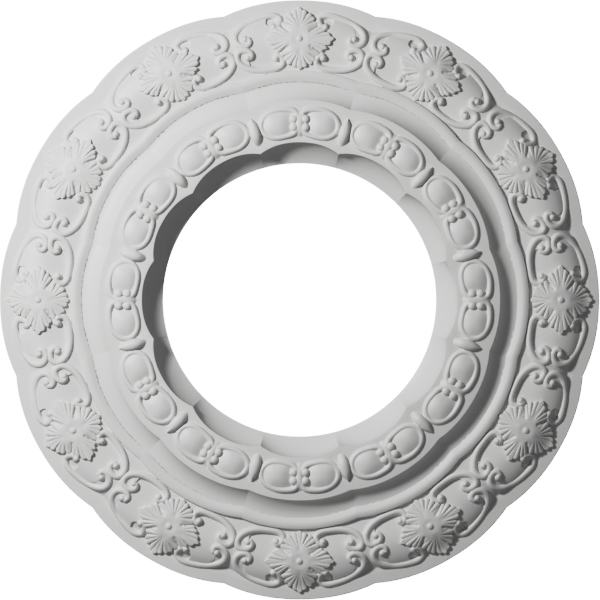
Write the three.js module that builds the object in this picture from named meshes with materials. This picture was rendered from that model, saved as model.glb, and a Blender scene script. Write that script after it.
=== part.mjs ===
import * as THREE from 'three';
import { mergeVertices } from 'three/addons/utils/BufferGeometryUtils.js';

// All sizes are millimetres and all angles are degrees. The rose is shaped face up
// on its flat back and turned over at the end, so that it hangs face down. In a
// sector, x runs across and y runs out from the axis through the middle of the lobe.

// Plan
const sectorCount = 12;
const outerRadius = 195;
const openingRadius = 88.8;
const lobeSharpness = 2.4;

// Rim and frieze
const rimThickness = 3;
const rimRise = 0.4;
const friezeEdgeRadius = 188.6;
const friezeTopRadius = 162;
const friezeTopHeight = 10.6;
const friezeFall = 0.7;
const cushionFootInset = 4;
const cushionRoundness = 3.2;

// Bead and cove
const beadOuterRadius = 148.9;
const beadEdgeWidth = 0.4;
const beadEdgeHeight = 12.5;
const beadTopRadius = 145.3;
const beadTopHeight = 13.1;
const coveFootRadius = 141.5;
const coveFootSlope = 4;
const coveTopSlope = 68;
const coveTopHeight = 20;

// Platform and cartouche band
const platformOuterRadius = 130.2;
const platformInnerRadius = 126;
const platformRise = 0.3;
const bandOuterRadius = 125;
const bandInnerRadius = 104.6;
const bandOuterHeight = 20.6;
const bandInnerHeight = 21.2;

// Lip and hollow wall of the opening
const lipInnerRadius = 102.3;
const lipHeight = 21.4;
const wallMiddleRadius = 96.5;
const wallMiddleHeight = 10.4;
const wallEdgeHeight = 5;

// How far each edge is drawn in where two lobes meet
const lobeDepths = [
  [openingRadius, 0],
  [lipInnerRadius, 4.4],
  [bandInnerRadius, 3.2],
  [platformInnerRadius, 3.2],
  [platformOuterRadius, 2.5],
  [beadOuterRadius, 2.4],
  [friezeEdgeRadius, 4.4],
  [outerRadius, 4.1],
];

// Plain rings that the ornaments are drawn on, before they are fitted to the lobed ring
const friezeDrawing = { inner: 150, outer: 190 };
const bandDrawing = { inner: 105, outer: 125 };

// Rosette
const rosetteRadius = 171.2;
const rosetteHalfWidth = 21;
const rosetteHalfLength = 17.4;
const rosetteRelief = 2.8;
const rosetteEdgeRelief = 1.3;
const rosetteTooth = 0.05;
const rosetteFlute = 0.4;
const rosetteDishShare = 0.45;
const rosetteEdgeShare = 0.94;

// Scrolls of the frieze, each a hook, a bow along the edge and a curl round an eye
const scrollHalfWidth = 1.8;
const scrollHeight = 1.8;
const scrollInset = 2.7;
const hookRadius = 3.6;
const curlRadius = 6.6;
const curlEndRadius = 1.9;
const outerScroll = {
  hookEye: new THREE.Vector2(17.1, 183),
  hookFrom: 275,
  hookTo: 110,
  bowRadius: friezeDrawing.outer - scrollInset,
  bowAngles: [8.4, 10.6],
  curlEye: new THREE.Vector2(35.2, 174.2),
  curlFrom: 30,
  curlTo: -270,
};
const innerScroll = {
  hookEye: new THREE.Vector2(17.2, 158.1),
  hookFrom: 65,
  hookTo: 215,
  bowRadius: friezeDrawing.inner + scrollInset,
  bowAngles: [8, 10.6],
  curlEye: new THREE.Vector2(33.8, 160.5),
  curlFrom: -35,
  curlTo: 260,
};

// Frame of half a cartouche, which ends in an eye on both sides
const frameHalfWidth = 1.6;
const frameHeight = 1.9;
const frameEndHeight = 3.7;
const frameEndSharpness = 4;
const frameInset = 2.3;
const frameEyeRadius = 1.9;
const frameEyeTurn = 200;
const upperEye = new THREE.Vector2(4.4, 117.8);
const upperAngles = [5, 8, 10.6];
const lowerEye = new THREE.Vector2(4.5, 110.6);
const lowerAngles = [10.2, 5.6];
const frameFarAngle = 12.2;

// Crowns of the panels inside the scrolls and the cartouches
const friezeCrown = { x: 25.9, y: 168.4, halfWidth: 2.8, halfLength: 5.6, lift: 0.2 };
const cartoucheCrown = { x: 15.6, y: 114.2, halfWidth: 4, halfLength: 3.4, lift: 3.3 };

// Tongues between lobes
const tongue = { y: 115.7, halfWidth: 3.2, halfLength: 8.6, lift: 4.7, edgeLift: 3.5, topShare: 0.6 };

// Facets
const segmentsPerSector = 6;
const coveSteps = 2;
const rosetteSegments = 24;
const hookSteps = 2;
const curlSteps = 5;
const tongueSegments = 6;
const crownSegments = 4;

const sectorAngle = 360 / sectorCount;
const halfSector = sectorAngle / 2;
const ringSegments = sectorCount * segmentsPerSector;
const { degToRad, radToDeg, lerp, mapLinear } = THREE.MathUtils;

// Value at x on the straight lines between [x, value] stations in rising order
function between(stations, x) {
  const next = stations.findIndex(([at]) => at >= x);
  if (next === 0) {
    return stations[0][1];
  }
  if (next < 0) {
    return stations[stations.length - 1][1];
  }
  const [lowX, lowValue] = stations[next - 1];
  const [highX, highValue] = stations[next];
  return mapLinear(x, lowX, highX, lowValue, highValue);
}

// Share of the lobe depth at an angle from the middle of a lobe
function lobeShare(angle) {
  const folded = angle - sectorAngle * Math.round(angle / sectorAngle);
  return Math.abs(folded / halfSector) ** lobeSharpness;
}

function lobedRadius(radius, angle) {
  return radius - between(lobeDepths, radius) * lobeShare(angle);
}

// Height of the cushioned frieze between its outer edge and the bead
function friezeHeight(radius) {
  if (radius > friezeTopRadius) {
    const edgeHeight = rimThickness + rimRise;
    const footRadius = friezeEdgeRadius - cushionFootInset;
    const share = (radius - friezeTopRadius) / (footRadius - friezeTopRadius);
    const drop = (friezeTopHeight - edgeHeight) * share ** cushionRoundness;
    return Math.max(edgeHeight, friezeTopHeight - drop);
  }
  const share = (friezeTopRadius - radius) / (friezeTopRadius - beadOuterRadius);
  return friezeTopHeight - friezeFall * share ** 2;
}

function bandGround(radius) {
  return mapLinear(radius, bandInnerRadius, bandOuterRadius, bandInnerHeight, bandOuterHeight);
}

// Height of the ring under the ornaments, by the radius that a point has in the middle of a lobe
function groundHeight(radius) {
  return radius > platformOuterRadius ? friezeHeight(radius) : bandGround(radius);
}

// Plan point at an angle and radius of a sector
function polar(angle, radius) {
  const turn = degToRad(angle);
  return new THREE.Vector2(radius * Math.sin(turn), radius * Math.cos(turn));
}

// A skin is a surface of points and triangles that isn't closed yet
function joined(skins) {
  const points = [];
  const triangles = [];
  skins.forEach((skin) => {
    const start = points.length;
    points.push(...skin.points);
    triangles.push(...skin.triangles.map((corners) => corners.map((corner) => corner + start)));
  });
  return { points, triangles };
}

// Revolved skin about +Z of [radius, height] stations, each vertex moved by place
function revolved(stations, segments, place) {
  const profile = stations.map(([radius, height]) => new THREE.Vector2(radius, height));
  const geometry = new THREE.LatheGeometry(profile, segments);
  geometry.rotateX(Math.PI / 2);
  const positions = geometry.attributes.position;
  const rows = profile.map((_, row) => Array.from({ length: segments }, (__, segment) => {
    const vertex = segment * profile.length + row;
    return place(new THREE.Vector3().fromBufferAttribute(positions, vertex));
  }));
  const triangles = [];
  for (let row = 1; row < rows.length; row += 1) {
    for (let segment = 0; segment < segments; segment += 1) {
      const next = (segment + 1) % segments;
      const [a, b] = [(row - 1) * segments + segment, (row - 1) * segments + next];
      const [c, d] = [row * segments + segment, row * segments + next];
      triangles.push([a, b, d], [a, d, c]);
    }
  }
  return { points: rows.flat(), triangles, rows };
}

function lobedRing(stations) {
  return revolved(stations, ringSegments, (point) => {
    const radius = Math.hypot(point.x, point.y);
    const scale = lobedRadius(radius, radToDeg(Math.atan2(point.x, point.y))) / radius;
    return point.set(point.x * scale, point.y * scale, point.z);
  });
}

// Rim, from the back up to the edge of the frieze
function rim() {
  return lobedRing([
    [outerRadius, 0],
    [outerRadius, rimThickness],
    [friezeEdgeRadius, rimThickness + rimRise],
  ]);
}

// Hollow from the crease beside the bead up to the platform
function coveStations() {
  const width = coveFootRadius - platformOuterRadius;
  const [footSlope, topSlope] = [degToRad(coveFootSlope), degToRad(coveTopSlope)];
  const arcRadius = width / (Math.sin(topSlope) - Math.sin(footSlope));
  return Array.from({ length: coveSteps + 1 }, (_, i) => {
    const slope = lerp(footSlope, topSlope, i / coveSteps);
    const radius = platformOuterRadius + arcRadius * (Math.sin(topSlope) - Math.sin(slope));
    return [radius, coveTopHeight - arcRadius * (Math.cos(slope) - Math.cos(topSlope))];
  });
}

function beadToPlatform() {
  return lobedRing([
    [beadOuterRadius, friezeHeight(beadOuterRadius)],
    [beadOuterRadius - beadEdgeWidth, beadEdgeHeight],
    [beadTopRadius, beadTopHeight],
    ...coveStations(),
    [platformInnerRadius, coveTopHeight + platformRise],
    [bandOuterRadius, bandGround(bandOuterRadius)],
  ]);
}

// Lip and hollow wall of the opening, then the flat back out to the rim
function lipAndBack() {
  return lobedRing([
    [bandInnerRadius, bandGround(bandInnerRadius)],
    [lipInnerRadius, lipHeight],
    [wallMiddleRadius, wallMiddleHeight],
    [openingRadius, wallEdgeHeight],
    [openingRadius, 0],
    [outerRadius, 0],
  ]);
}

// Ground between an outer and an inner row of the ring, open where ornaments stand
function paved(outerRow, innerRow, ornaments) {
  const holes = [innerRow, ...ornaments.map((ornament) => ornament.foot)];
  const contour = [...outerRow];
  return {
    points: [contour, ...holes].flat(),
    triangles: THREE.ShapeUtils.triangulateShape(contour, holes),
  };
}

// Copy of an ornament with each of its points moved
function moved({ points, triangles, foot }, move) {
  const copies = new Map(points.map((point) => [point, move(point)]));
  return { points: [...copies.values()], triangles, foot: foot.map((point) => copies.get(point)) };
}

// Ornament drawn with its lifts on a plain ring, fitted between two edges of the lobed ring
function settled(ornament, drawing, innerRadius, outerRadius) {
  return moved(ornament, ({ x, y, z }) => {
    const angle = radToDeg(Math.atan2(x, y));
    const share = mapLinear(Math.hypot(x, y), drawing.inner, drawing.outer, 0, 1);
    const radius = lerp(innerRadius, outerRadius, share);
    const spot = polar(angle, lobedRadius(radius, angle));
    return new THREE.Vector3(spot.x, spot.y, groundHeight(radius) + z);
  });
}

function mirrored(ornament) {
  const across = moved(ornament, ({ x, y, z }) => new THREE.Vector3(-x, y, z));
  return { ...across, triangles: across.triangles.map(([a, b, c]) => [a, c, b]) };
}

// Copies of an ornament in every sector
function repeated(ornament) {
  return Array.from({ length: sectorCount }, (_, sector) => {
    const matrix = new THREE.Matrix4().makeRotationZ(degToRad(sector * sectorAngle));
    return moved(ornament, (point) => point.clone().applyMatrix4(matrix));
  });
}

// Stud from [share, lift] stations, the first in its middle and the last at its foot
function stud(stations, segments, place) {
  const { points, triangles, rows } = revolved(stations, segments, place);
  const hasArea = ([a, b]) => Math.max(a, b) >= segments;
  return {
    points,
    triangles: triangles.filter(hasArea).map(([a, b, c]) => [a, c, b]),
    foot: rows[rows.length - 1],
  };
}

// Four pointed leaves with toothed edges and a flute behind each tooth
function rosette() {
  const stations = [
    [0, rosetteRelief],
    [rosetteDishShare, rosetteRelief],
    [rosetteEdgeShare, rosetteEdgeRelief],
    [1, 0],
  ];
  return stud(stations, rosetteSegments, (point) => {
    const turn = Math.atan2(point.y, point.x);
    const share = Math.hypot(point.x, point.y);
    const diamond = 1 / (Math.abs(Math.cos(turn)) + Math.abs(Math.sin(turn)));
    const tooth = Math.cos(turn * rosetteSegments / 2);
    const reach = share * diamond * (1 + rosetteTooth * tooth);
    const x = rosetteHalfWidth * reach * Math.cos(turn);
    const y = rosetteRadius + rosetteHalfLength * reach * Math.sin(turn);
    const flute = point.z > 0 && share > 0 ? rosetteFlute * tooth : 0;
    return new THREE.Vector3(x, y, point.z + flute);
  });
}

// Radial bud between neighbouring lobes
function tongueStud() {
  const { y, halfWidth, halfLength, lift, edgeLift, topShare } = tongue;
  return stud([[0, lift], [topShare, edgeLift], [1, 0]], tongueSegments, (point) => {
    const spot = new THREE.Vector2(halfWidth * point.x, y + halfLength * point.y);
    spot.rotateAround(new THREE.Vector2(), degToRad(-halfSector));
    return new THREE.Vector3(spot.x, spot.y, point.z);
  });
}

// Low flat crown that rounds a panel between ridges
function crown({ x, y, halfWidth, halfLength, lift }) {
  const edge = new THREE.EllipseCurve(x, y, halfWidth, halfLength);
  const foot = edge.getPoints(crownSegments).slice(1).map((point) => (
    new THREE.Vector3(point.x, point.y, lift)
  ));
  return { points: foot, triangles: THREE.ShapeUtils.triangulateShape(foot, []), foot };
}

// Points of a spiral about an eye, with angles from the x direction
function spiral(eye, fromAngle, toAngle, fromRadius, toRadius, steps) {
  return Array.from({ length: steps + 1 }, (_, i) => {
    const turn = degToRad(lerp(fromAngle, toAngle, i / steps));
    const radius = lerp(fromRadius, toRadius, i / steps);
    return new THREE.Vector2(eye.x + radius * Math.cos(turn), eye.y + radius * Math.sin(turn));
  });
}

// Three-sided ridge through plan points, with its lift given by the share of their count
function ridge(planPoints, halfWidth, liftAt) {
  const path = new THREE.SplineCurve(planPoints);
  const last = planPoints.length - 1;
  const raised = (point, lift) => new THREE.Vector3(point.x, point.y, lift);
  const stations = planPoints.map((middle, i) => {
    const along = path.getTangent(i / last);
    const across = new THREE.Vector2(-along.y, along.x).multiplyScalar(halfWidth);
    return {
      left: raised(middle.clone().add(across), 0),
      crest: raised(middle, liftAt(i / last)),
      right: raised(middle.clone().sub(across), 0),
      tip: raised(middle.clone().addScaledVector(along, i ? halfWidth : -halfWidth), 0),
    };
  });
  const points = stations.flatMap(({ left, crest, right }) => [left, crest, right]);
  const startTip = points.push(stations[0].tip) - 1;
  const endTip = points.push(stations[last].tip) - 1;
  const end = 3 * last;
  const triangles = [
    [startTip, 1, 0],
    [startTip, 2, 1],
    [endTip, end, end + 1],
    [endTip, end + 1, end + 2],
  ];
  for (let i = 0; i < last; i += 1) {
    const [left, crest, right] = [3 * i, 3 * i + 1, 3 * i + 2];
    triangles.push([left, crest, crest + 3], [left, crest + 3, left + 3]);
    triangles.push([crest, right, right + 3], [crest, right + 3, crest + 3]);
  }
  const leftSide = stations.map(({ left }) => left);
  const rightSide = stations.map(({ right }) => right).reverse();
  return { points, triangles, foot: [points[startTip], ...leftSide, points[endTip], ...rightSide] };
}

function scroll({ hookEye, hookFrom, hookTo, bowRadius, bowAngles, curlEye, curlFrom, curlTo }) {
  const hook = spiral(hookEye, hookFrom, hookTo, hookRadius, hookRadius, hookSteps);
  const bow = bowAngles.map((angle) => polar(angle, bowRadius));
  const curl = spiral(curlEye, curlFrom, curlTo, curlRadius, curlEndRadius, curlSteps);
  return ridge([...hook, ...bow, ...curl], scrollHalfWidth, () => scrollHeight);
}

// Frame of half a lobe's cartouche, open towards the middle of the lobe
function cartoucheFrame() {
  const { inner, outer } = bandDrawing;
  const [up, down] = [90, -90];
  const upperCurl = spiral(upperEye, up + frameEyeTurn, up, frameEyeRadius, frameEyeRadius, hookSteps);
  const lowerCurl = spiral(lowerEye, down, down - frameEyeTurn, frameEyeRadius, frameEyeRadius, hookSteps);
  const upperSide = upperAngles.map((angle) => polar(angle, outer - frameInset));
  const lowerSide = lowerAngles.map((angle) => polar(angle, inner + frameInset));
  const farEnd = polar(frameFarAngle, (inner + outer) / 2);
  const route = [...upperCurl, ...upperSide, farEnd, ...lowerSide, ...lowerCurl];
  return ridge(route, frameHalfWidth, (share) => (
    lerp(frameHeight, frameEndHeight, Math.abs(2 * share - 1) ** frameEndSharpness)
  ));
}

function friezeOrnaments() {
  const sided = [scroll(outerScroll), scroll(innerScroll), crown(friezeCrown)];
  return [rosette(), ...sided, ...sided.map(mirrored)].flatMap((ornament) => (
    repeated(settled(ornament, friezeDrawing, beadOuterRadius, friezeEdgeRadius))
  ));
}

function bandOrnaments() {
  const sided = [cartoucheFrame(), crown(cartoucheCrown)];
  return [tongueStud(), ...sided, ...sided.map(mirrored)].flatMap((ornament) => (
    repeated(settled(ornament, bandDrawing, bandInnerRadius, bandOuterRadius))
  ));
}

function closedGeometry(skin) {
  const geometry = new THREE.BufferGeometry().setFromPoints(skin.points);
  geometry.setIndex(skin.triangles.flat());
  return mergeVertices(geometry, 1e-5);
}

function ceilingRose() {
  const outside = rim();
  const middle = beadToPlatform();
  const inside = lipAndBack();
  const frieze = friezeOrnaments();
  const band = bandOrnaments();
  const [friezeEdge] = outside.rows.slice(-1);
  const [beadEdge] = middle.rows;
  const [bandEdge] = middle.rows.slice(-1);
  const [lipEdge] = inside.rows;
  const geometry = closedGeometry(joined([
    outside,
    paved(friezeEdge, beadEdge, frieze),
    ...frieze,
    middle,
    paved(bandEdge, lipEdge, band),
    ...band,
    inside,
  ]));
  geometry.rotateX(Math.PI);
  const faceted = geometry.toNonIndexed();
  faceted.computeVertexNormals();
  return faceted;
}

function mouldedWhite() {
  return new THREE.MeshStandardMaterial({ color: 0xe9e9e7, roughness: 0.55, metalness: 0 });
}

const rose = new THREE.Mesh(ceilingRose(), mouldedWhite());
rose.name = 'ceiling_rose';

const group = new THREE.Group();
group.add(rose);

export default group;
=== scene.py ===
import math

import bpy
import numpy as np
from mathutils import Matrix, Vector
from mathutils.kdtree import KDTree


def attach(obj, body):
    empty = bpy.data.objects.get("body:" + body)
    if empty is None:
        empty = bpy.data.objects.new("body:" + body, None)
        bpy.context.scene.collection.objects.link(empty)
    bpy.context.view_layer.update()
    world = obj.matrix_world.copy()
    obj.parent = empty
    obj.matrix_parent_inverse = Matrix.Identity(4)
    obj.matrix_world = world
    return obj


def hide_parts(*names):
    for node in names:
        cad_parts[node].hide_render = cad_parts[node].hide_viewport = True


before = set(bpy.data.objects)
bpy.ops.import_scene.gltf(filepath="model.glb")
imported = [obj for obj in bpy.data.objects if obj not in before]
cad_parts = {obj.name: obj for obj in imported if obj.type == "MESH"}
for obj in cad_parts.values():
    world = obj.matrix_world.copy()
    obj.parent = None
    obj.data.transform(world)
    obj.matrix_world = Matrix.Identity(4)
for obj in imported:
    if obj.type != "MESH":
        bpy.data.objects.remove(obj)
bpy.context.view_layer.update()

# The carving is worked out face up on its flat back, in millimetres, as the part's source
# does, and is turned over when it becomes a mesh in metres. In a sector, x runs across
# and y runs out from the axis through the middle of a lobe. Angles are in degrees.
MM = 0.001

# Plan
SECTORS = 12
HALF_SECTOR = 180 / SECTORS
LOBE_SHARPNESS = 2.4
OUTER_RADIUS = 195.0
OPENING_RADIUS = 88.8

# Rim and cushioned frieze. The cushion goes on falling past its foot, as far as the overrun,
# so that it meets the rim in a fillet.
RIM_HEIGHT = 3.0
RIM_ROUND = 0.7
RIM_INNER_HEIGHT = 3.4
FRIEZE_EDGE_RADIUS = 188.6
CUSHION_FOOT_RADIUS = 184.6
CUSHION_TOP_RADIUS = 162.0
CUSHION_TOP_HEIGHT = 10.6
CUSHION_ROUNDNESS = 3.2
CUSHION_FALL = 0.7
CUSHION_OVERRUN = 1.2
RIM_SOFTNESS = 0.5
FRIEZE_POINTS = 70

# Bead and cove: the bead's crown runs from its outer edge in to a crease, where the arc of
# the cove starts up to the platform
BEAD_OUTER_RADIUS = 148.9
BEAD_STEP = 0.35
BEAD_CROWN = (
    (148.9, 12.6), (148.4, 12.85), (147.5, 13.15), (146.4, 13.3), (145.4, 13.25), (144.4, 13.0),
    (143.4, 12.65), (142.4, 12.25), (141.5, 11.8),
)
COVE_LOW_RADIUS = 141.5
COVE_LOW_SLOPE = 4.0
COVE_TOP_SLOPE = 68.0
COVE_TOP_HEIGHT = 20.0
COVE_POINTS = 16

# Platform, ground of the cartouches, lip and hollow wall of the opening
PLATFORM_OUTER_RADIUS = 130.2
PLATFORM_INNER_RADIUS = 126.0
PLATFORM_HEIGHT = 20.3
BAND_INNER_RADIUS = 104.6
LIP_INNER_RADIUS = 102.3
LIP_HEIGHT = 21.4
LIP_ROUND = 0.3
WALL_EDGE_HEIGHT = 5.0
WALL_STRAIGHTNESS = 0.36
WALL_POINTS = 24
CORNER_STEPS = 4

# How far each edge is drawn in where two lobes meet
LOBE_RADII = (OPENING_RADIUS, LIP_INNER_RADIUS, BAND_INNER_RADIUS, PLATFORM_INNER_RADIUS,
              PLATFORM_OUTER_RADIUS, BEAD_OUTER_RADIUS, FRIEZE_EDGE_RADIUS, OUTER_RADIUS)
LOBE_DEPTHS = (0.0, 4.4, 3.2, 3.2, 2.5, 2.4, 4.4, 4.1)

# Rounds in which a point's radius in the middle of a lobe is found
LOBE_ROUNDS = 3

# Steepness of the flanks under a raised form, as height over width
FLANK = 4.0

# Spacing of the points on a smooth path
PATH_STEP = 0.5

# Grid that the carving is sampled on, and the faces kept of it in half a sector. The very
# edge of the rim isn't carved.
ROW_STEP = 0.3
COLUMNS = 170
BACK_STEP = 8.0
RIM_MARGIN = 2.0
KEPT_FACES = 7900

# Normals of the carving, read for the kept faces: how far inside a corner, from how many
# faces of the carving, and how alike those have to be
NORMAL_INSET = 0.2
NORMAL_SAMPLES = 4
NORMAL_AGREEMENT = 0.9

# Distance within which points of neighbouring copies are one
MERGE_DISTANCE = 1e-4


def lobed(radius, angle):
    """Radius of a lobed edge at an angle from the middle of the lobe."""
    share = np.abs(angle / HALF_SECTOR) ** LOBE_SHARPNESS
    return radius - np.interp(radius, LOBE_RADII, LOBE_DEPTHS) * share


def plain_radius(x, y):
    """Radius that a point would have in the middle of a lobe."""
    radius = np.hypot(x, y)
    share = np.abs(np.degrees(np.arctan2(x, y)) / HALF_SECTOR) ** LOBE_SHARPNESS
    plain = radius
    for _ in range(LOBE_ROUNDS):
        plain = radius + np.interp(plain, LOBE_RADII, LOBE_DEPTHS) * share
    return plain


def smooth_step(low, high, value):
    """Rise from zero to one as a value goes from low to high."""
    share = np.clip((value - low) / (high - low), 0, 1)
    return share * share * (3 - 2 * share)


def union(one, other, softness):
    """Upper of two heights, with a fillet of about that softness where they meet."""
    blend = np.clip(1 - np.abs(one - other) / softness, 0, 1)
    return np.maximum(one, other) + blend * blend * softness / 4


# Curves

def rounded_corner(centre, radius, start, end):
    turns = np.radians(np.linspace(start, end, CORNER_STEPS + 1))
    return [(centre[0] + radius * math.cos(t), centre[1] + radius * math.sin(t)) for t in turns]


def smooth_path(points):
    """Evenly spaced points on a smooth curve through the given ones."""
    points = np.asarray(points, float)
    lengths = np.linalg.norm(np.diff(points, axis=0), axis=1)
    reached = np.concatenate([[0], np.cumsum(lengths)])
    count = len(points)
    system = np.eye(count)
    bends = np.zeros((count, 2))
    for i in range(1, count - 1):
        before, after = lengths[i - 1], lengths[i]
        system[i, i - 1:i + 2] = before, 2 * (before + after), after
        bends[i] = 6 * ((points[i + 1] - points[i]) / after - (points[i] - points[i - 1]) / before)
    bends = np.linalg.solve(system, bends)
    along = np.linspace(0, reached[-1], math.ceil(reached[-1] / PATH_STEP) + 1)
    i = np.clip(np.searchsorted(reached, along, side="right") - 1, 0, count - 2)
    length = lengths[i][:, None]
    late = ((along - reached[i]) / lengths[i])[:, None]
    early = 1 - late
    bent = (early ** 3 - early) * bends[i] + (late ** 3 - late) * bends[i + 1]
    return early * points[i] + late * points[i + 1] + bent * length ** 2 / 6


def nearest(path, x, y):
    """Distance to a path, and the share of the path's length there."""
    best = np.full(x.shape, np.inf)
    share = np.zeros(x.shape)
    lengths = np.linalg.norm(np.diff(path, axis=0), axis=1)
    reached = np.concatenate([[0], np.cumsum(lengths)])
    for i, (start, end) in enumerate(zip(path, path[1:])):
        along = end - start
        t = np.clip(((x - start[0]) * along[0] + (y - start[1]) * along[1]) / lengths[i] ** 2, 0, 1)
        distance = np.hypot(x - start[0] - t * along[0], y - start[1] - t * along[1])
        closer = distance < best
        best = np.where(closer, distance, best)
        share = np.where(closer, (reached[i] + t * lengths[i]) / reached[-1], share)
    return best, share


# Plain lobed ring

def cushion_height(radius):
    """Height of the cushion, from its swelling top down to its foot and in to the bead."""
    outer = (radius - CUSHION_TOP_RADIUS) / (CUSHION_FOOT_RADIUS - CUSHION_TOP_RADIUS)
    outer = np.clip(outer, 0, CUSHION_OVERRUN)
    inner = np.clip((CUSHION_TOP_RADIUS - radius) / (CUSHION_TOP_RADIUS - BEAD_OUTER_RADIUS), 0, None)
    drop = (CUSHION_TOP_HEIGHT - RIM_INNER_HEIGHT) * outer ** CUSHION_ROUNDNESS
    return CUSHION_TOP_HEIGHT - drop - CUSHION_FALL * inner ** 2


def frieze_height(radius):
    return union(cushion_height(radius), np.full_like(radius, RIM_INNER_HEIGHT), RIM_SOFTNESS)


def cove_profile():
    """Hollow from its lowest point up to the platform."""
    turns = np.radians(np.linspace(COVE_LOW_SLOPE, COVE_TOP_SLOPE, COVE_POINTS))
    width = COVE_LOW_RADIUS - PLATFORM_OUTER_RADIUS
    arc_radius = width / (math.sin(turns[-1]) - math.sin(turns[0]))
    return [(PLATFORM_OUTER_RADIUS + arc_radius * (math.sin(turns[-1]) - math.sin(t)),
             COVE_TOP_HEIGHT - arc_radius * (math.cos(t) - math.cos(turns[-1]))) for t in turns]


def wall_profile():
    """Hollow wall of the opening, from the lip in to its upright edge."""
    share = np.linspace(1, 0, WALL_POINTS)[1:]
    hollow = WALL_STRAIGHTNESS * share + (1 - WALL_STRAIGHTNESS) * (1 - np.sqrt(1 - share ** 2))
    radius = OPENING_RADIUS + (LIP_INNER_RADIUS - OPENING_RADIUS) * share
    height = WALL_EDGE_HEIGHT + (LIP_HEIGHT - LIP_ROUND - WALL_EDGE_HEIGHT) * hollow
    return list(zip(radius, height))


def ring_profile():
    """Outline of the ring's section, from the back edge of the rim to that of the opening."""
    frieze_radii = np.linspace(FRIEZE_EDGE_RADIUS, BEAD_OUTER_RADIUS + BEAD_STEP, FRIEZE_POINTS)
    rim_centre = (OUTER_RADIUS - RIM_ROUND, RIM_HEIGHT - RIM_ROUND)
    lip_centre = (LIP_INNER_RADIUS + LIP_ROUND, LIP_HEIGHT - LIP_ROUND)
    return [
        (OUTER_RADIUS, 0.0),
        *rounded_corner(rim_centre, RIM_ROUND, 0, 90),
        *zip(frieze_radii, frieze_height(frieze_radii)),
        *[tuple(point) for point in smooth_path(BEAD_CROWN)],
        *cove_profile(),
        (PLATFORM_INNER_RADIUS, PLATFORM_HEIGHT),
        (BAND_INNER_RADIUS, LIP_HEIGHT),
        *rounded_corner(lip_centre, LIP_ROUND, 90, 180),
        *wall_profile(),
        (OPENING_RADIUS, 0.0),
    ]


def resampled(points, step):
    """Points no further apart than step on straight lines through the given ones."""
    rows = [points[0]]
    for (r0, z0), (r1, z1) in zip(points, points[1:]):
        count = max(1, math.ceil(math.hypot(r1 - r0, z1 - z0) / step))
        rows += [(r0 + (r1 - r0) * i / count, z0 + (z1 - z0) * i / count) for i in range(1, count + 1)]
    return rows


def ground_height(radius):
    """Height of the plain ring under a point, by its radius in the middle of a lobe."""
    profile = sorted(p for p in ring_profile() if p[0] <= FRIEZE_EDGE_RADIUS)
    return np.interp(radius, [p[0] for p in profile], [p[1] for p in profile])


def ground_along(path):
    return ground_height(plain_radius(path[:, 0], path[:, 1]))


def along_path(path, share, values):
    """Values given at a path's points, read at shares of its length."""
    lengths = np.linalg.norm(np.diff(path, axis=0), axis=1)
    reached = np.concatenate([[0], np.cumsum(lengths)]) / lengths.sum()
    return np.interp(share, reached, values)


def smooth_value(place, stations):
    """Value at a place on the smooth curve through (place, value) stations."""
    curve = smooth_path(stations)
    return np.interp(place, curve[:, 0], curve[:, 1])


def round_section(distance, half_width, height):
    """Drop below the crest of a round bar, steep beyond its half width."""
    inside = np.clip(distance / half_width, 0, 1)
    beyond = np.clip(distance - half_width, 0, None)
    return height * (1 - np.sqrt(1 - inside ** 2)) + FLANK * beyond


def mound(x, y, centre, half_width, half_length, sharpness):
    """Zero in the middle of a rounded patch and one at its edge."""
    return (np.abs((x - centre[0]) / half_width) ** sharpness
            + np.abs((y - centre[1]) / half_length) ** sharpness)


# Fields of the frieze, each a flatter pillow in the cushion between an outer and an inner
# scroll, with a pocket beside the outer scroll's hook. The outer edge slants with the scroll.

FIELD_ANGLE = 8.1
FIELD_HALF_ANGLE = 3.95
FIELD_RADIUS = 167.0
FIELD_HALF_LENGTH = 17.0
FIELD_SHARPNESS = 6
FIELD_SLANT = 0.6
FIELD_FLANK = 0.25
FIELD_LIFTS = (
    (149.0, -1.7), (156.0, -1.2), (162.0, -0.6), (168.0, -0.2), (175.0, 0.1), (180.0, 0.8), (185.0, 1.6),
)
POCKET_CENTRE = (17.4, 180.9)
POCKET_HALF_WIDTH = 4.8
POCKET_HALF_LENGTH = 3.0
POCKET_SHARPNESS = 3
POCKET_DEPTH = 0.8


def field_lift(x, y):
    """How far the field stands over the cushion."""
    radius, angle = np.hypot(x, y), np.degrees(np.arctan2(x, y))
    slant = np.where(radius > FIELD_RADIUS, FIELD_SLANT * (angle - FIELD_ANGLE), 0)
    spread = (np.abs((angle - FIELD_ANGLE) / FIELD_HALF_ANGLE) ** FIELD_SHARPNESS
              + np.abs((radius + slant - FIELD_RADIUS) / FIELD_HALF_LENGTH) ** FIELD_SHARPNESS)
    inside = smooth_step(0, FIELD_FLANK, 1 - spread)
    hollow = mound(x, y, POCKET_CENTRE, POCKET_HALF_WIDTH, POCKET_HALF_LENGTH, POCKET_SHARPNESS)
    pocket = smooth_step(0, FIELD_FLANK, 1 - hollow)
    lift = smooth_value(radius, FIELD_LIFTS)
    return inside * (lift - (lift + POCKET_DEPTH) * pocket)


# Scrolls of the frieze

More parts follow.
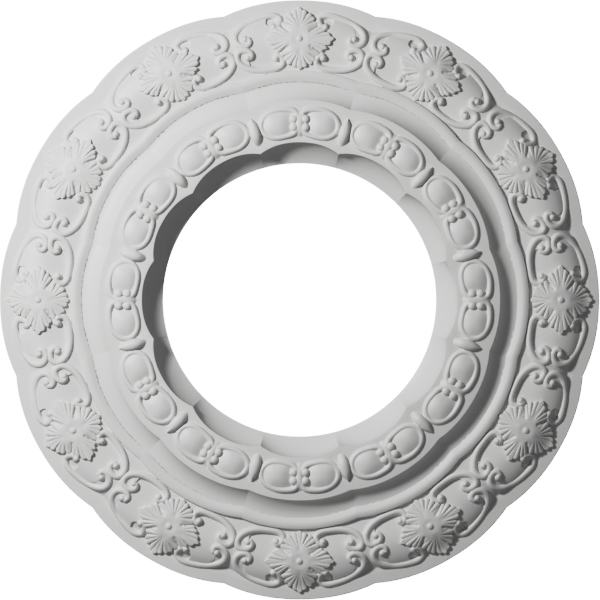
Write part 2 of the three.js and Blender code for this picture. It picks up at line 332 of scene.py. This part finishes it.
SCROLL_HALF_WIDTH = 2.2
SCROLL_END_HALF_WIDTH = 1.8
SCROLL_HEIGHT = 2.0
SCROLL_SINK = 0.3
SCROLL_TAPER = 0.5
SCROLL_SOFTNESS = 0.4
BALL_RADIUS = 2.5
BALL_HEIGHT = 2.6
BALL_SINK = 1.0
BALL_SOFTNESS = 0.2
OUTER_SCROLL = (
    (16.0, 176.9), (14.0, 177.9), (12.8, 180.3), (13.2, 182.9), (15.4, 184.6), (18.9, 185.0),
    (22.6, 184.2), (27.3, 182.7), (32.4, 180.4), (37.2, 177.2), (40.8, 173.6), (42.0, 169.8),
    (40.8, 166.5), (37.5, 164.8), (34.2, 165.2), (32.4, 167.3), (33.2, 169.4),
)
INNER_SCROLL = (
    (14.9, 158.9), (12.6, 158.3), (11.0, 156.4), (10.7, 154.0), (12.3, 151.8), (15.6, 150.3),
    (20.5, 149.5), (25.5, 149.1), (30.4, 149.5), (35.4, 151.1), (39.3, 154.1), (40.7, 157.9),
    (39.3, 161.1), (35.9, 162.0), (32.6, 161.2), (31.2, 158.9), (32.0, 157.2),
)
OUTER_SCROLL_BALLS = ((16.8, 177.2), (35.5, 169.3))
INNER_SCROLL_BALLS = ((15.2, 157.3), (33.6, 157.4))


def add_ball(z, x, y, centre):
    base = ground_along(np.array([centre]))[0]
    distance = np.hypot(x - centre[0], y - centre[1])
    ball = base + BALL_HEIGHT - round_section(distance, BALL_RADIUS, BALL_HEIGHT + BALL_SINK)
    return union(z, ball, BALL_SOFTNESS)


def add_scroll(z, x, y, points, balls):
    path = smooth_path(points)
    distance, share = nearest(path, x, y)
    taper = np.sin(math.pi * share) ** SCROLL_TAPER
    half_width = SCROLL_END_HALF_WIDTH + (SCROLL_HALF_WIDTH - SCROLL_END_HALF_WIDTH) * taper
    ground = along_path(path, share, ground_along(path))
    tube = ground + SCROLL_HEIGHT - round_section(distance, half_width, SCROLL_HEIGHT + SCROLL_SINK)
    z = union(z, tube, SCROLL_SOFTNESS)
    for centre in balls:
        z = add_ball(z, x, y, centre)
    return z


# Rosette: two side leaves and two tall ones, each a fan of fingers from a point on its rib,
# with a shallow channel along the rib. Every other groove is weaker. A cleft and a small pit
# part neighbouring leaves, and a boss stands in a dish in the middle. Outlines are given by
# the angle from the side leaves' ribs, for the outer and the inner half.

ROSETTE_CENTRE = (0.0, 170.0)
OUTLINE_ANGLES_OUT = (0, 9, 20, 32, 37, 50, 63, 78, 90)
OUTLINE_REACH_OUT = (22.3, 19.6, 17.5, 15.7, 15.0, 15.9, 17.4, 18.5, 20.4)
OUTLINE_ANGLES_IN = (0, 8, 20, 30, 37, 50, 63, 80, 90)
OUTLINE_REACH_IN = (22.3, 20.3, 18.6, 16.7, 15.8, 16.7, 18.3, 18.8, 20.0)
CLEFT_ANGLE = 36.0
SIDE_LEAF_FINGERS = 3.5
TALL_LEAF_FINGERS = 4.5
SIDE_FAN = (4.0, 46.0)
TALL_FAN = (7.0, 84.0)
FINGER_NOTCH = 1.5
FINGER_DEPTH = 0.95
FINGER_ROUNDNESS = 3
FINGER_CONTRAST = 0.4
FINGER_START = 0.42
FINGER_FULL = 0.8
CHANNEL_HALF_WIDTH = 1.4
CHANNEL_DEPTH = 0.45
CHANNEL_START = 0.25
CHANNEL_FULL = 0.5
LEAF_INNER_HEIGHT = 3.0
LEAF_EDGE_HEIGHT = 2.3
LEAF_ROUNDNESS = 3
LEAF_SAG = 0.7
PIT_SPOT = (7.0, 4.8)
PIT_RADIUS = 1.0
PIT_DEPTH = 0.5
CLEFT_WIDTH = 0.7
CLEFT_DEPTH = 0.2
ROSETTE_BED_SOFTNESS = 5.0
ROSETTE_SOFTNESS = 0.2
ROSETTE_MARGIN = 3
DISH_RADIUS = 5.0
DISH_DEPTH = 0.4
BOSS_RADIUS = 2.3
BOSS_HEIGHT = 1.2
BOSS_SINK = 0.5
BOSS_SOFTNESS = 0.15


def leaf_outline(angle, dy):
    """Reach of the leaves from the rosette's centre."""
    outer = np.interp(angle, OUTLINE_ANGLES_OUT, OUTLINE_REACH_OUT)
    inner = np.interp(angle, OUTLINE_ANGLES_IN, OUTLINE_REACH_IN)
    return np.where(dy > 0, outer, inner)


def finger_places(along, beside, on_side):
    """Place across a finger, zero on its crown and one in a groove, and the groove's strength."""
    fingers = np.where(on_side, SIDE_LEAF_FINGERS, TALL_LEAF_FINGERS)
    fan_start = np.where(on_side, SIDE_FAN[0], TALL_FAN[0])
    turn = np.degrees(np.arctan2(beside, along - fan_start))
    phase = np.clip(turn / np.where(on_side, SIDE_FAN[1], TALL_FAN[1]) * fingers, 0, fingers)
    across = 2 * np.abs(phase - np.round(phase))
    return across, 1 - FINGER_CONTRAST * (-1) ** np.floor(phase)


def leaf_height(dx, dy):
    """Height of the rosette over its ground, at places from its centre."""
    reach = np.hypot(dx, dy)
    angle = np.degrees(np.arctan2(np.abs(dy), np.abs(dx)))
    outline = leaf_outline(angle, dy)
    share = reach / outline
    on_side = angle < CLEFT_ANGLE
    off_rib = np.where(on_side, angle / CLEFT_ANGLE, (90 - angle) / (90 - CLEFT_ANGLE))
    along = np.where(on_side, np.abs(dx), np.abs(dy))
    beside = np.where(on_side, np.abs(dy), np.abs(dx))
    across, groove = finger_places(along, beside, on_side)
    grown = smooth_step(FINGER_START, FINGER_FULL, share)
    top = LEAF_INNER_HEIGHT + (LEAF_EDGE_HEIGHT - LEAF_INNER_HEIGHT) * share ** LEAF_ROUNDNESS
    sag = LEAF_SAG * off_rib ** LEAF_ROUNDNESS * grown
    channel = CHANNEL_DEPTH * np.exp(-(beside / CHANNEL_HALF_WIDTH) ** 2)
    channel = channel * smooth_step(CHANNEL_START, CHANNEL_FULL, share)
    off_cleft = (angle - CLEFT_ANGLE) * reach * math.radians(1)
    cleft = CLEFT_DEPTH * grown * np.exp(-(off_cleft / CLEFT_WIDTH) ** 2)
    leaf = top - sag - channel - cleft - FINGER_DEPTH * groove * grown * across ** FINGER_ROUNDNESS
    edge = outline - FINGER_NOTCH * groove * across ** 2
    leaf = leaf - FLANK * np.clip(reach - edge, 0, None)
    off_pit = np.hypot(np.abs(dx) - PIT_SPOT[0], np.abs(dy) - PIT_SPOT[1])
    leaf = leaf - PIT_DEPTH * np.exp(-(off_pit / PIT_RADIUS) ** 2)
    leaf = leaf - DISH_DEPTH * np.clip(1 - (reach / DISH_RADIUS) ** 2, 0, 1)
    boss_top = LEAF_INNER_HEIGHT - DISH_DEPTH + BOSS_HEIGHT
    boss = boss_top - round_section(reach, BOSS_RADIUS, BOSS_HEIGHT + BOSS_SINK)
    return union(leaf, boss, BOSS_SOFTNESS)


def add_rosette(z, x, y):
    dx, dy = x - ROSETTE_CENTRE[0], y - ROSETTE_CENTRE[1]
    near = np.hypot(dx, dy) < OUTLINE_REACH_OUT[0] + ROSETTE_MARGIN
    z = z.copy()
    bed = cushion_height(np.maximum(plain_radius(x[near], y[near]), BEAD_OUTER_RADIUS))
    bed = union(bed, np.full_like(bed, RIM_INNER_HEIGHT), ROSETTE_BED_SOFTNESS)
    z[near] = union(z[near], bed + leaf_height(dx[near], dy[near]), ROSETTE_SOFTNESS)
    return z


# Cartouches, and the tongues between them. Rises are over the ground of the band.

FRAME_HALF_WIDTH = 2.0
FRAME_SECTION = 2.4
FRAME_RISE = 2.0
FRAME_END_RISE = 3.1
FRAME_END_SHARPNESS = 8
FRAME_SOFTNESS = 0.5
FRAME = (
    (3.8, 117.4), (2.1, 118.8), (2.1, 121.3), (4.4, 123.0), (8.4, 123.6), (13.2, 123.4),
    (18.4, 121.8), (22.7, 118.8), (24.9, 114.6), (24.2, 109.8), (21.3, 106.7), (16.8, 105.2),
    (11.6, 105.6), (6.8, 106.8), (3.4, 108.4), (2.2, 110.4), (3.8, 112.2),
)
EYE_BALLS = ((3.8, 117.5), (3.8, 112.1))
EYE_BALL_RADIUS = 2.8
EYE_BALL_SECTION = 2.3
EYE_BALL_RISE = 3.5
EYE_BALL_SOFTNESS = 0.15
KNOT_CENTRE = (0.0, 115.0)
KNOT_HALF_WIDTH = 3.4
KNOT_HALF_LENGTH = 9.0
KNOT_SHARPNESS = 3
KNOT_RISE = 2.9
KNOT_SOFTNESS = 0.3
PANEL_CENTRE = (14.9, 113.9)
PANEL_HALF_WIDTH = 8.9
PANEL_HALF_LENGTH = 8.2
PANEL_SHARPNESS = 2.6
PANEL_RISE = 3.3
PANEL_FALL = 2.2
PANEL_ROUNDNESS = 0.8
PANEL_SOFTNESS = 0.2
TONGUE_RISES = (
    (103.2, 0.0), (105.0, 1.7), (107.5, 3.4), (110.3, 4.2), (114.0, 4.2), (118.0, 3.4), (121.6, 1.5),
)
TONGUE_HALF_WIDTHS = (
    (103.2, 2.2), (105.0, 2.5), (107.5, 2.9), (110.3, 3.3), (114.0, 3.3), (118.0, 2.4), (121.6, 0.4),
)
TONGUE_SECTION = 2.6
TONGUE_SOFTNESS = 0.2


def add_cartouche(z, ground, x, y):
    spread = mound(x, y, PANEL_CENTRE, PANEL_HALF_WIDTH, PANEL_HALF_LENGTH, PANEL_SHARPNESS)
    z = union(z, ground + PANEL_RISE - PANEL_FALL * spread ** PANEL_ROUNDNESS, PANEL_SOFTNESS)
    spread = mound(x, y, KNOT_CENTRE, KNOT_HALF_WIDTH, KNOT_HALF_LENGTH, KNOT_SHARPNESS)
    z = union(z, ground + KNOT_RISE * (1 - spread), KNOT_SOFTNESS)
    path = smooth_path(FRAME)
    distance, share = nearest(path, x, y)
    rise = FRAME_RISE + (FRAME_END_RISE - FRAME_RISE) * np.abs(2 * share - 1) ** FRAME_END_SHARPNESS
    base = along_path(path, share, ground_along(path))
    z = union(z, base + rise - round_section(distance, FRAME_HALF_WIDTH, FRAME_SECTION), FRAME_SOFTNESS)
    for eye in EYE_BALLS:
        away = np.hypot(x - eye[0], y - eye[1])
        ball = ground + EYE_BALL_RISE - round_section(away, EYE_BALL_RADIUS, EYE_BALL_SECTION)
        z = union(z, ball, EYE_BALL_SOFTNESS)
    return z


def add_tongue(z, ground, x, y):
    turn = math.radians(HALF_SECTOR)
    out = x * math.sin(turn) + y * math.cos(turn)
    across = np.abs(x * math.cos(turn) - y * math.sin(turn))
    (first, _), *_, (last, _) = TONGUE_RISES
    beyond = np.clip(np.maximum(first - out, out - last), 0, None)
    section = round_section(across, smooth_value(out, TONGUE_HALF_WIDTHS), TONGUE_SECTION)
    tongue = ground + smooth_value(out, TONGUE_RISES) - section - FLANK * beyond
    return union(z, tongue, TONGUE_SOFTNESS)


# Mesh

def carved_heights(plain, x, y, z):
    """Heights of the plain ring with the ornament raised from them."""
    frieze = plain > PLATFORM_OUTER_RADIUS
    fx, fy, fz = x[frieze], y[frieze], z[frieze]
    fz = add_scroll(fz + field_lift(fx, fy), fx, fy, OUTER_SCROLL, OUTER_SCROLL_BALLS)
    fz = add_scroll(fz, fx, fy, INNER_SCROLL, INNER_SCROLL_BALLS)
    z[frieze] = add_rosette(fz, fx, fy)
    bx, by, bz = x[~frieze], y[~frieze], z[~frieze]
    z[~frieze] = add_tongue(add_cartouche(bz, bz, bx, by), bz, bx, by)
    return z


def faces_round(rows, columns):
    """Faces of a grid of points whose last row is joined to its first."""
    faces = []
    for row in range(rows):
        following = (row + 1) % rows
        for column in range(columns - 1):
            a, b = row * columns + column, row * columns + column + 1
            c, d = following * columns + column, following * columns + column + 1
            faces.append((a, b, d, c))
    return faces


def half_sector():
    """Dense points and faces of half a sector, closed round its section and open at its sides."""
    coarseness = 1
    front = resampled(ring_profile(), ROW_STEP * coarseness)
    back = resampled([front[-1], front[0]], BACK_STEP)[1:-1]
    rows = np.array(front + back)
    angles = np.linspace(0, HALF_SECTOR, COLUMNS // coarseness + 1)
    plain, turn = np.meshgrid(rows[:, 0], angles, indexing="ij")
    z = np.repeat(rows[:, 1:2], len(angles), axis=1)
    radius = lobed(plain, turn)
    x, y = radius * np.sin(np.radians(turn)), radius * np.cos(np.radians(turn))
    on_front = np.zeros(z.shape, bool)
    on_front[:len(front)] = True
    carved = on_front & (plain < OUTER_RADIUS - RIM_MARGIN) & (plain > LIP_INNER_RADIUS + LIP_ROUND)
    z[carved] = carved_heights(plain[carved], x[carved], y[carved], z[carved])
    points = np.stack([x, y, z], axis=-1).reshape(-1, 3)
    return points, faces_round(len(rows), len(angles))


def thinned(points, faces, kept):
    """Triangles of the mesh with its flatter stretches joined, down to about that many."""
    mesh = bpy.data.meshes.new("half_sector")
    mesh.from_pydata(points.tolist(), [], faces)
    piece = bpy.data.objects.new("half_sector", mesh)
    bpy.context.scene.collection.objects.link(piece)
    modifier = piece.modifiers.new("thin", "DECIMATE")
    modifier.ratio = kept / (2 * len(faces))
    modifier.use_collapse_triangulate = True
    result = piece.evaluated_get(bpy.context.evaluated_depsgraph_get()).to_mesh()
    vertices = np.zeros(len(result.vertices) * 3)
    result.vertices.foreach_get("co", vertices)
    corners = np.zeros(len(result.loops), int)
    result.loops.foreach_get("vertex_index", corners)
    bpy.data.objects.remove(piece)
    bpy.data.meshes.remove(mesh)
    return vertices.reshape(-1, 3), corners.reshape(-1, 3)


def carved_normals(points, faces, corners):
    """Normal of the dense carving under each corner of the kept triangles."""
    dense = points[np.array(faces)]
    across = np.cross(dense[:, 2] - dense[:, 0], dense[:, 3] - dense[:, 1])
    across /= np.linalg.norm(across, axis=1)[:, None]
    tree = KDTree(len(dense))
    for i, middle in enumerate(dense.mean(axis=1)):
        tree.insert(middle, i)
    tree.balance()
    spots = corners + NORMAL_INSET * (corners.mean(axis=1, keepdims=True) - corners)
    normals = []
    for spot in spots.reshape(-1, 3):
        found = across[[hit[1] for hit in tree.find_n(spot, NORMAL_SAMPLES)]]
        alike = found[found @ found[0] > NORMAL_AGREEMENT].sum(axis=0)
        normals.append(alike / np.linalg.norm(alike))
    return np.array(normals).reshape(corners.shape)


def on_side_planes(points, triangles):
    """The same points, with those on the open sides set exactly on the sector's planes."""
    sides = {}
    for a, b, c in triangles:
        for edge in ((a, b), (b, c), (c, a)):
            key = (min(edge), max(edge))
            sides[key] = sides.get(key, 0) + 1
    open_points = sorted({i for edge, uses in sides.items() if uses == 1 for i in edge})
    turn = math.radians(HALF_SECTOR)
    normal = np.array([math.cos(turn), -math.sin(turn), 0])
    for i in open_points:
        off = points[i] @ normal
        if abs(points[i][0]) < abs(off):
            points[i][0] = 0
        else:
            points[i] = points[i] - off * normal
    return points


def whole_ring(points, triangles, normals):
    """Mirrored and turned copies of half a sector, in metres and face down."""
    all_points, all_triangles, all_normals = [], [], []
    for sector in range(SECTORS):
        turn = math.radians(sector * 360 / SECTORS)
        for mirror in (1, -1):
            place = np.array([[mirror * math.cos(turn), math.sin(turn), 0],
                              [mirror * math.sin(turn), -math.cos(turn), 0],
                              [0, 0, -1]])
            step = -mirror
            all_triangles.append(triangles[:, ::step] + len(points) * len(all_points))
            all_normals.append((normals @ place.T)[:, ::step])
            all_points.append(np.clip(points @ place.T, -OUTER_RADIUS, OUTER_RADIUS) * MM)
    return np.vstack(all_points), np.vstack(all_triangles), np.vstack(all_normals)


def joined_mesh(name, points, triangles, normals):
    """Mesh with the copies' shared points merged."""
    keys = np.round(points / (MERGE_DISTANCE * MM)).astype(np.int64)
    _, first, inverse = np.unique(keys, axis=0, return_index=True, return_inverse=True)
    merged = inverse.reshape(-1)[triangles]
    a, b, c = merged[:, 0], merged[:, 1], merged[:, 2]
    whole = (a != b) & (b != c) & (c != a)
    mesh = bpy.data.meshes.new(name)
    mesh.from_pydata(points[first].tolist(), [], merged[whole].tolist())
    mesh.polygons.foreach_set("use_smooth", [True] * len(mesh.polygons))
    mesh.normals_split_custom_set(normals[whole].reshape(-1, 3).tolist())
    mesh.update()
    return mesh


def ceiling_rose():
    """The whole rose, carved densely in half a sector and thinned before it is repeated."""
    dense_points, faces = half_sector()
    kept = KEPT_FACES
    points, triangles = thinned(dense_points, faces, kept)
    points = on_side_planes(points, triangles)
    normals = carved_normals(dense_points, faces, points[triangles])
    mesh = joined_mesh("moulded_rose", *whole_ring(points, triangles, -normals))
    rose = bpy.data.objects.new("moulded_rose", mesh)
    bpy.context.scene.collection.objects.link(rose)
    return rose


# Material

PAINT_COLOUR = (0.76, 0.76, 0.755)
PAINT_SHADE = (0.72, 0.72, 0.712)
PAINT_ROUGHNESS = (0.42, 0.52)
PAINT_REFRACTION = 1.46
CLOUD_SCALE = 22
CLOUD_DETAIL = 4
GRAIN_SCALE = 900
GRAIN_DETAIL = 3
GRAIN_HEIGHT = 0.00004


def moulded_white():
    material = bpy.data.materials.new("moulded_white")
    material.use_nodes = True
    nodes, links = material.node_tree.nodes, material.node_tree.links
    shader = nodes["Principled BSDF"]
    shader.inputs["IOR"].default_value = PAINT_REFRACTION
    place = nodes.new("ShaderNodeTexCoord")

    def noise(scale, detail):
        node = nodes.new("ShaderNodeTexNoise")
        node.inputs["Scale"].default_value = scale
        node.inputs["Detail"].default_value = detail
        links.new(place.outputs["Object"], node.inputs["Vector"])
        return node.outputs["Fac"]

    clouds = noise(CLOUD_SCALE, CLOUD_DETAIL)
    grain = noise(GRAIN_SCALE, GRAIN_DETAIL)
    tint = nodes.new("ShaderNodeMix")
    tint.data_type = "RGBA"
    tint.inputs["A"].default_value = (*PAINT_SHADE, 1)
    tint.inputs["B"].default_value = (*PAINT_COLOUR, 1)
    links.new(clouds, tint.inputs["Factor"])
    links.new(tint.outputs["Result"], shader.inputs["Base Color"])
    rough = nodes.new("ShaderNodeMapRange")
    rough.inputs["To Min"].default_value = PAINT_ROUGHNESS[0]
    rough.inputs["To Max"].default_value = PAINT_ROUGHNESS[1]
    links.new(clouds, rough.inputs["Value"])
    links.new(rough.outputs["Result"], shader.inputs["Roughness"])
    bump = nodes.new("ShaderNodeBump")
    bump.inputs["Distance"].default_value = GRAIN_HEIGHT
    links.new(grain, bump.inputs["Height"])
    links.new(bump.outputs["Normal"], shader.inputs["Normal"])
    return material


# Camera, light and floor

PHOTO_PIXELS = 600
PIXELS_PER_MM = 1.537
PHOTO_CENTRE = (299.6, 299.95)
LENS = 900
SENSOR = 36
KEY_DIRECTION = (0.601, 0.361, -0.713)
KEY_DISTANCE = 1.1
KEY_SIZE = 0.14
KEY_POWER = 10.7
AMBIENT = 0.11
BACKGROUND = 4.0
BACK_LIGHT_DIRECTION = (0, 0, 1)
BACK_LIGHT_DISTANCE = 2.0
BACK_LIGHT_SIZE = 1.0
BACK_LIGHT_POWER = 28
COMBINED_CURVE = 3
SHOULDER = ((0.3, 0.3), (0.56, 0.56), (0.75, 0.655), (1.0, 0.73), (2.0, 0.88))
FLOOR_DROP = 11
FLOOR_SIZE = 30
FLOOR_COLOUR = (0.8, 0.8, 0.8)
FLOOR_ROUGHNESS = 0.9


def add_camera():
    data = bpy.data.cameras.new("camera")
    data.lens = LENS
    data.sensor_width = SENSOR
    view_width = PHOTO_PIXELS / PIXELS_PER_MM * MM
    face = -RIM_HEIGHT * MM
    data.shift_x = (PHOTO_PIXELS / 2 - PHOTO_CENTRE[0]) / PHOTO_PIXELS
    data.shift_y = (PHOTO_CENTRE[1] - PHOTO_PIXELS / 2) / PHOTO_PIXELS
    camera = bpy.data.objects.new("camera", data)
    camera.location = (0, 0, face - view_width * LENS / SENSOR)
    camera.rotation_euler = (math.pi, 0, math.pi)
    bpy.context.scene.collection.objects.link(camera)
    bpy.context.scene.camera = camera
    return camera


def area_light(name, direction, distance, size, power):
    data = bpy.data.lights.new(name, "AREA")
    data.size = size
    data.energy = power
    light = bpy.data.objects.new(name, data)
    light.location = Vector(direction).normalized() * distance
    light.rotation_euler = (-light.location).to_track_quat("-Z", "Y").to_euler()
    bpy.context.scene.collection.objects.link(light)
    return light


def add_world():
    """White behind the rose, and a dim even light on it."""
    world = bpy.data.worlds.new("world")
    world.use_nodes = True
    nodes, links = world.node_tree.nodes, world.node_tree.links
    background = nodes["Background"]
    background.inputs["Color"].default_value = (1, 1, 1, 1)
    path = nodes.new("ShaderNodeLightPath")
    strength = nodes.new("ShaderNodeMapRange")
    strength.inputs["To Min"].default_value = AMBIENT
    strength.inputs["To Max"].default_value = BACKGROUND
    links.new(path.outputs["Is Camera Ray"], strength.inputs["Value"])
    links.new(strength.outputs["Result"], background.inputs["Strength"])
    bpy.context.scene.world = world


def add_floor():
    half = FLOOR_SIZE / 2
    mesh = bpy.data.meshes.new("floor")
    corners = [(-half, -half, 0), (half, -half, 0), (half, half, 0), (-half, half, 0)]
    mesh.from_pydata(corners, [], [(0, 1, 2, 3)])
    floor = bpy.data.objects.new("floor", mesh)
    floor.location = (0, 0, -FLOOR_DROP)
    material = bpy.data.materials.new("pale_floor")
    material.use_nodes = True
    shader = material.node_tree.nodes["Principled BSDF"]
    shader.inputs["Base Color"].default_value = (*FLOOR_COLOUR, 1)
    shader.inputs["Roughness"].default_value = FLOOR_ROUGHNESS
    mesh.materials.append(material)
    bpy.context.scene.collection.objects.link(floor)


def soften_highlights():
    """Film-like shoulder over plain brightness, as the light falls on white paint."""
    view = bpy.context.scene.view_settings
    view.view_transform = "Standard"
    view.use_curve_mapping = True
    mapping = view.curve_mapping
    mapping.clip_max_x = BACKGROUND
    mapping.clip_max_y = 1
    curve = mapping.curves[COMBINED_CURVE]
    curve.points[0].location = (0, 0)
    curve.points[1].location = (BACKGROUND, 1)
    for at, to in SHOULDER:
        curve.points.new(at, to)
    mapping.update()


add_camera()
add_world()
add_floor()
area_light("key_light", KEY_DIRECTION, KEY_DISTANCE, KEY_SIZE, KEY_POWER)
area_light("back_light", BACK_LIGHT_DIRECTION, BACK_LIGHT_DISTANCE, BACK_LIGHT_SIZE, BACK_LIGHT_POWER)
soften_highlights()

rose = ceiling_rose()
rose.data.materials.append(moulded_white())
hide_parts("ceiling_rose")
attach(rose, "root")
